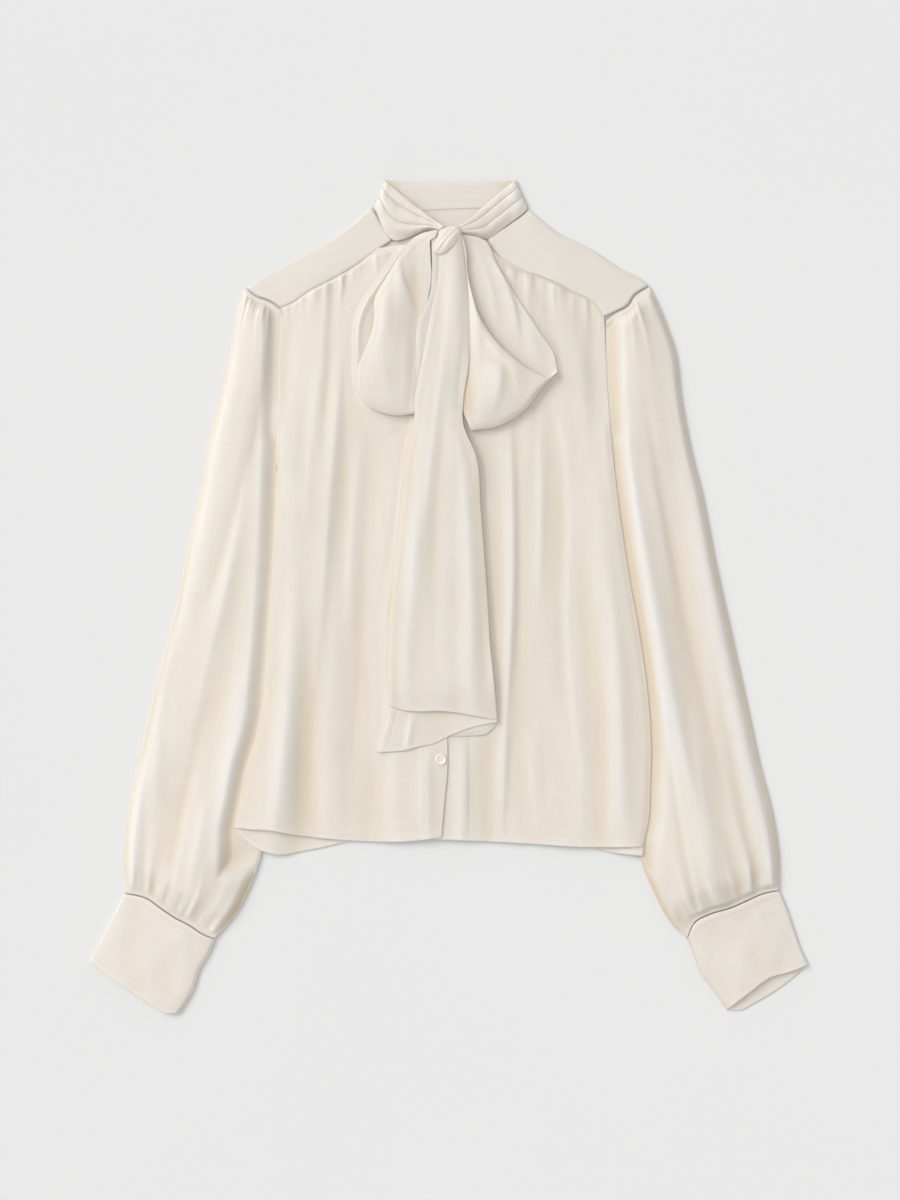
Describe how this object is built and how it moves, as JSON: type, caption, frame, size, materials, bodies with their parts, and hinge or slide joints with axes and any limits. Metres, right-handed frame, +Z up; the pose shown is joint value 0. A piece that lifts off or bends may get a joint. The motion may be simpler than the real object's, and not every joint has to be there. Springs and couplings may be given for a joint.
{
  "type": "bow blouse",
  "caption": "Ivory bow blouse laid flat, with a gathered yoke, full sleeves in deep cuffs, a pleated neck band and a long tied bow; rests on its back",
  "frame": {"origin": "on the flat underside of the back panel, at the middle of the whole garment's length and width", "axes": "+X to the right as seen from above, which is the wearer's left; +Y from the hem to the collar; +Z up off the surface it lies on"},
  "size_m": [0.6818, 0.7919, 0.0219],
  "materials": {
    "ivory_silk": "semi-sheer plain-weave silk with a soft sheen",
    "ivory_silk_double": "the same silk, doubled, so less sheer",
    "button_shell": "pearly ivory, smooth"
  },
  "bodies": {
    "root": {"back_panel": "ivory_silk", "front_right": "ivory_silk", "front_left": "ivory_silk", "yoke": "ivory_silk", "sleeve_right": "ivory_silk", "sleeve_left": "ivory_silk", "cuff_right": "ivory_silk_double", "cuff_left": "ivory_silk_double", "collar": "ivory_silk_double", "knot": "ivory_silk", "loop_right": "ivory_silk", "loop_left": "ivory_silk", "tail_front": "ivory_silk", "tail_back": "ivory_silk", "button_1": "button_shell", "button_2": "button_shell", "button_3": "button_shell", "button_4": "button_shell", "button_5": "button_shell", "button_6": "button_shell"}
  },
  "joints": []
}
